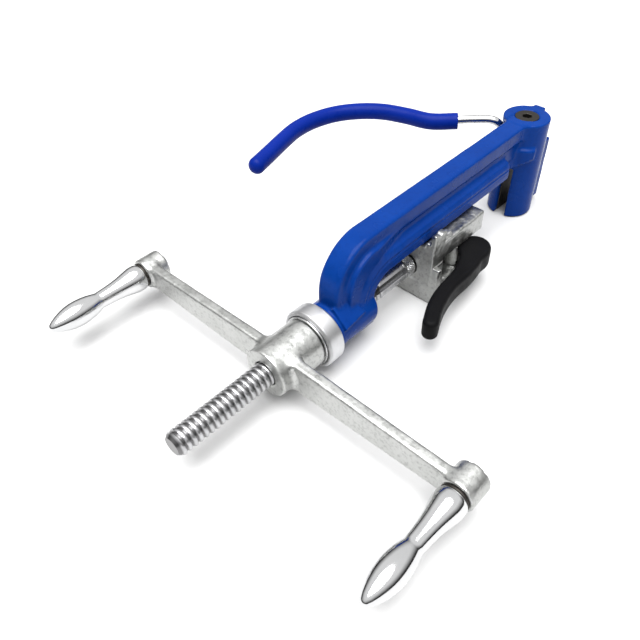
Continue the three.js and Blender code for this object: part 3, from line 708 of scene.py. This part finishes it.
def knurl(inner, start, length, teeth, sides, rows):
    """A sleeve about Y whose outside has crossed ridges."""
    points, faces = [], []
    for j in range(rows + 1):
        for i in range(sides):
            turn, height = i / sides, j / rows
            one = abs(((turn * teeth + height * 3.2) % 1) - 0.5) * 2
            two = abs(((turn * teeth - height * 3.2) % 1) - 0.5) * 2
            radius = 6.02 + 0.34 * min(one, two, 0.55) / 0.55
            angle = 2 * PI * turn
            points.append((radius * math.sin(angle), start + length * height,
                           radius * math.cos(angle)))
    outer = len(points)
    for j in (0, rows):
        for i in range(sides):
            angle = 2 * PI * i / sides
            points.append((inner * math.sin(angle), start + length * j / rows,
                           inner * math.cos(angle)))
    last = rows * sides
    for i in range(sides):
        k = (i + 1) % sides
        for j in range(rows):
            below, above = j * sides, (j + 1) * sides
            faces.append((below + i, below + k, above + k, above + i))
        faces.append((i, k, outer + k, outer + i))
        faces.append((last + i, last + k, outer + sides + k, outer + sides + i))
        faces.append((outer + i, outer + k, outer + sides + k, outer + sides + i))
    return points, faces


def spindle():
    keyway_floor, keyway_top, keyway_half = 4.1, 9, 1.6
    # the thread is made too long at both ends and trimmed to the spindle's length
    points, faces = thread(TAIL - 6, THREAD_END + 6, 5.35, 3.0, 72)
    made = piece("spindle_thread_skin", points, faces, "carriage", "spindle", THREAD, 30)
    envelope = [(0, TAIL), (4.4, TAIL), (6.3, -62.9), (6.3, THREAD_END), (0, THREAD_END)]
    carve(made, *lathe(envelope), "INTERSECT")
    rear = key_block((keyway_floor, -11, -keyway_half), (keyway_top, 70, keyway_half))
    carve(made, *rear, "DIFFERENCE")
    shank = [(0, 66.05), (5.9, 66.05), (CREST, 66.4), (CREST, 85.6), (6.3, 86), (6.3, 86.9),
             (5.7, 87.2), (5.7, SPINDLE_FRONT), (0, SPINDLE_FRONT)]
    points, faces = lathe(filleted(shank, 0.15))
    shank = piece("spindle_shank_skin", points, faces, "carriage", "spindle", SHANK, 40)
    front = key_block((keyway_floor, 60, -keyway_half), (keyway_top, 86, keyway_half))
    carve(shank, *front, "DIFFERENCE")
    points, faces = knurl(5.75, 87.3, 6.2, 30, 120, 26)
    piece("spindle_knurl_skin", points, faces, "carriage", "spindle", TURNED, 20)
    turned("lock_pin_skin", solid_bar(2, -18.9, 9), "carriage", "spindle_lock_pin", TURNED,
           axis="z", at=(0, LOCK_Y, 0), sides=32)


# ---- gripper ----
PIVOT = (11.6, 128)
CAM_THROW, CAM_TURN = 3.5, math.radians(250)
CAM_AT = (PIVOT[0] + CAM_THROW * math.cos(CAM_TURN), PIVOT[1] + CAM_THROW * math.sin(CAM_TURN))
# the handle's centre line and half width
HANDLE = [(23.2, 122, 6.8), (26.2, 114, 5.5), (28.3, 104, 4.4), (29, 94, 4), (30.3, 84, 4.2),
          (33.3, 73.5, 4.2), (37.9, 63.4, 4.1)]
BLOCK_LEFT, BLOCK_BACK, LOCK_Y = -13, 94, 101


def gripper_block():
    f = Field((-16.5, 92.5, -20.5), (22, 144, 26.5), 0.42)
    x, y, z = f.x, f.y, f.z
    body = f.box((BLOCK_LEFT, 16.5), (BLOCK_BACK, 142), (FLOOR_Z, 16.4), 1.3)
    foot = f.box((BLOCK_LEFT, 20.5), (BLOCK_BACK, 138), (FLOOR_Z, -8), 1.0)
    body = join(body, foot, 1.0)
    for side in (-1, 1):
        ear = f.box(sorted((side * 10.4, side * 15)), (BLOCK_BACK, 112), (6, 18.6), 1.0)
        body = join(body, ear, 0.6)
    body = join(body, f.box((14, 20.5), (BLOCK_BACK, 97.3), (-12, 25), 0.9), 0.8)
    body = join(body, f.box((13, 17.2), (95, 103), (2, 23.6), 0.9), 0.8)
    gusset = polygon(x, z, [(13, 24.2), (19.6, 24.2), (15, 10), (13, 10)])
    body = join(body, meet(gusset, abs(y - 101.5) - 2, 0.7), 0.6)
    pocket = np.minimum(np.hypot(x - 24, y - 126) - 22.8, np.maximum(1.2 - x, 126 - y))
    body = cut(body, np.maximum(pocket, abs(z + 1.25) - 6.75), 0.8)
    body = cut(body, f.box((1.2, 5.8), (112, 160), (-30, -5)), 0.5)
    corner = np.hypot(np.maximum(x - 13.5, 0), np.maximum(y - 139, 0)) - 3
    body = cut(body, np.maximum(-corner, np.maximum(5 - z, 8 - x)), 0.3)
    body = cut(body, f.bar_y(6.46, 80, 107.3), 0.4)
    body = cut(body, f.bar_z(2.3, -30, 9.3, y=LOCK_Y))
    body = cut(body, f.bar_z(2.8, -30, 12.3, x=PIVOT[0], y=PIVOT[1]))
    points, quads = f.surface(body)
    points = uneven(uneven(uneven(points, 8, 0.3, 2), 2.6, 0.16, 7), 1.1, 0.07, 4)
    piece("block_skin", points, quads, "carriage", "gripper_block", BLOCK_CASTING, 180,
          also=("gripper_block_foot", "gripper_block_lid"))


def gripper_lever():
    f = Field((3, 56, -9), (45, 138, 6), 0.36)
    x, y, z = f.x, f.y, f.z
    path = Path([(a, b, 0) for a, b, _ in HANDLE])
    flat = np.hypot(x - 21.3, y - 127.2) - 8.6
    strip, discs = None, 90
    places, halves = np.linspace(0, path.length, len(HANDLE)), [h for _, _, h in HANDLE]
    for k in range(discs + 1):
        s = path.length * k / discs
        px, py, _ = path.at(s)
        half = np.interp(s, places, halves)
        disc = np.hypot(x - px, y - py) - half
        strip = disc if strip is None else np.minimum(strip, disc)
    flat = join(flat, strip, 5.0)
    coat = meet(flat, abs(z + 1.2) - 5.8, 2.3)
    # a fine crease across the coat near the handle's end
    tip = path.at(path.length * 0.9)
    away = path.heading(path.length * 0.9)
    run = (x - tip[0]) * away[0] + (y - tip[1]) * away[1]
    coat = coat + 0.09 * np.exp(-(run / 0.5) ** 2)
    cam = np.hypot(x - CAM_AT[0], y - CAM_AT[1]) - 8.9
    cam = meet(cam, abs(z + 1.35) - 6.25, 0.4)
    inner = np.maximum(flat + 2.3, abs(z + 1.2) - 3.5)
    # the cam shows only outside the coat, and runs on inside it at less than its full height
    bare = np.maximum(cam, 0.3 - flat)
    core = np.minimum(np.minimum(bare, inner), np.maximum(cam, abs(z + 1.2) - 3.5))
    coat = cut(coat, core - 0.3)
    piece("coat_skin", *f.surface(coat), "lever", "gripper_lever_coat", BLACK, 180)
    from_pivot = np.hypot(x - PIVOT[0], y - PIVOT[1])
    core = cut(core, np.maximum(from_pivot - 2.7, -20 - z))
    core = cut(core, np.maximum(from_pivot - 4.7, 0.6 - z))
    piece("lever_skin", *f.surface(core), "lever", "gripper_lever", CASTING, 180)
    turned("pivot_pin_skin", solid_bar(2.5, -17.5, 12), "carriage", "gripper_pivot_pin", TURNED,
           axis="z", at=(*PIVOT, 0), sides=40)
    coil_r, wire_r, sweep = 3.75, 0.45, 6 * PI
    coil = Path([(PIVOT[0] + coil_r * math.cos(t), PIVOT[1] + coil_r * math.sin(t),
                  1.35 + 3.3 * t / sweep) for t in np.linspace(0, sweep, 55)])
    wire = [(0, 0, 0), (wire_r, 0, 0), (wire_r, coil.length, 0), (0, coil.length, 0)]
    points, faces = along(coil, wire, sides=10, step=0.8)
    piece("spring_skin", points, faces, "lever", "gripper_spring", TURNED, 60)


# ---- cutter ----
CUTTER_TURN = math.radians(213.5)  # the lever's direction at rest
BOW = [(-34.5, 181.2), (-45, 172.1), (-60, 168.4), (-74.5, 163.2), (-86, 154.1), (-94.6, 141.7),
       (-99, 126), (-98.8, 112), (-95.6, 98.5), (-91.3, 83.8), (-86.2, 66)]


def out_at(r, height):
    """A point at radius r from the post's axis, on the cutter lever's side."""
    return r * math.cos(CUTTER_TURN), POST_Y + r * math.sin(CUTTER_TURN), height


def cutter():
    f = Field((-11, POST_Y - 11, -20.2), (11, POST_Y + 11, 37.2), 0.4)
    x, y, z = f.x, f.y, f.z
    core = f.bar_z(9.8, FLOOR_Z, 36.2, y=POST_Y, r=0.5)
    core = cut(core, f.box((-2.6, 2.6), (150, 250), (-40, 13)), 0.3)
    core = cut(core, f.bar_z(SCREW_HOLE_R, 21.7, 40, y=POST_Y))
    c, s = math.cos(CUTTER_TURN), math.sin(CUTTER_TURN)
    reach = x * c + (y - POST_Y) * s
    aside = (y - POST_Y) * c - x * s
    core = cut(core, np.maximum(np.hypot(aside, z - 33) - 2.7, 4.6 - reach), 0.3)
    piece("core_skin", *f.surface(core), "cutter", "cutter_core", DARK, 180)
    f = Field((-8, POST_Y - 8, 21), (8, POST_Y + 8, 43.2), 0.22)
    x, y, z = f.x, f.y - POST_Y, f.z
    radius = np.hypot(x, y)
    shank = meet(radius - 4, abs(z - 31) - 9, 0.4)
    top = 42.35
    head = np.maximum((radius - 7.2 - (z - top)) / math.sqrt(2), np.maximum(z - top, 38.9 - z))
    head = meet(head, radius - 6.95, 0.15)
    screw = join(shank, head, 0.3)
    socket = np.maximum(abs(y), abs(x * math.sin(PI / 3) + y / 2))
    socket = np.maximum(socket, abs(x * math.sin(PI / 3) - y / 2)) - 2.5
    screw = cut(screw, np.maximum(socket, 39.6 - z), 0.25)
    piece("screw_skin", *f.surface(screw), "cutter", "cutter_screw", DARK, 180)
    path = Path([out_at(4.9, 33), out_at(10.5, 33.1), out_at(14, 35.6), out_at(17.5, 38),
                 out_at(21.5, 38.8), out_at(31, 38.2), *[(a, b, 37.3) for a, b in BOW]])
    end = path.length
    rod = [(0, 0.2, 0), (2.1, 0.2, 0), (2.4, 0.5, 0), (2.4, end - 6.4, 0), (2.1, end - 6.1, 0),
           (0, end - 6.1, 0)]
    points, faces = along(path, rod, sides=40, step=1.0)
    piece("rod_skin", points, faces, "cutter", "cutter_rod", POLISHED, 60)
    lift, tip_r = -0.8, 4.2
    tip = [(4.8 * math.cos(a), end - tip_r + tip_r * math.sin(a), lift)
           for a in np.linspace(0, PI / 2, 9)[:-1]]
    sleeve = [(0, end - 5.6, 0), (2.65, end - 5.6, 0), (2.65, 36.2, 0), (3.0, 36, lift),
              (4.35, 36, lift), (4.68, 36.15, lift), (4.8, 36.5, lift), *tip, (0, end, lift)]
    points, faces = along(path, sleeve, sides=48, step=1.5)
    piece("sleeve_skin", points, faces, "cutter", "cutter_sleeve", SLEEVE, 50)


frame_casting()
bearing()
crank()
grips()
spindle()
gripper_block()
gripper_lever()
cutter()

# ---- studio ----
floor_mesh = bpy.data.meshes.new("floor")
floor_mesh.from_pydata([(-6, -6, 0), (6, -6, 0), (6, 6, 0), (-6, 6, 0)], [], [(0, 1, 2, 3)])
floor = bpy.data.objects.new("floor", floor_mesh)
floor.location.z = -0.0005
bpy.context.scene.collection.objects.link(floor)
pale = Nodes("pale_floor", (0.57, 0.57, 0.57), 0.9, 0.0, Specular_IOR_Level=0.1)
floor_mesh.materials.append(pale.material)

world = bpy.data.worlds.new("world")
world.use_nodes = True
sky = world.node_tree
aim = sky.nodes.new("ShaderNodeTexCoord")
height = sky.nodes.new("ShaderNodeSeparateXYZ")
shade = sky.nodes.new("ShaderNodeValToRGB")
sky.links.new(aim.outputs["Generated"], height.inputs["Vector"])
sky.links.new(height.outputs["Z"], shade.inputs["Fac"])
sky.links.new(shade.outputs["Color"], sky.nodes["Background"].inputs["Color"])
for element, place, value in zip(shade.color_ramp.elements, (0.18, 0.6), (0.03, 1.0)):
    element.position = place
    element.color = (value, value, value, 1)
sky.nodes["Background"].inputs["Strength"].default_value = 1.0
bpy.context.scene.world = world

sun_data = bpy.data.lights.new("sky", "SUN")
sun_data.energy = 6.0
sun_data.angle = math.radians(55)
sun = bpy.data.objects.new("sky", sun_data)
sun.location = (0.1, -0.15, 1.0)
sun.rotation_euler = (-sun.location).to_track_quat("-Z", "Y").to_euler()
bpy.context.scene.collection.objects.link(sun)

bpy.context.scene.view_settings.view_transform = "Standard"
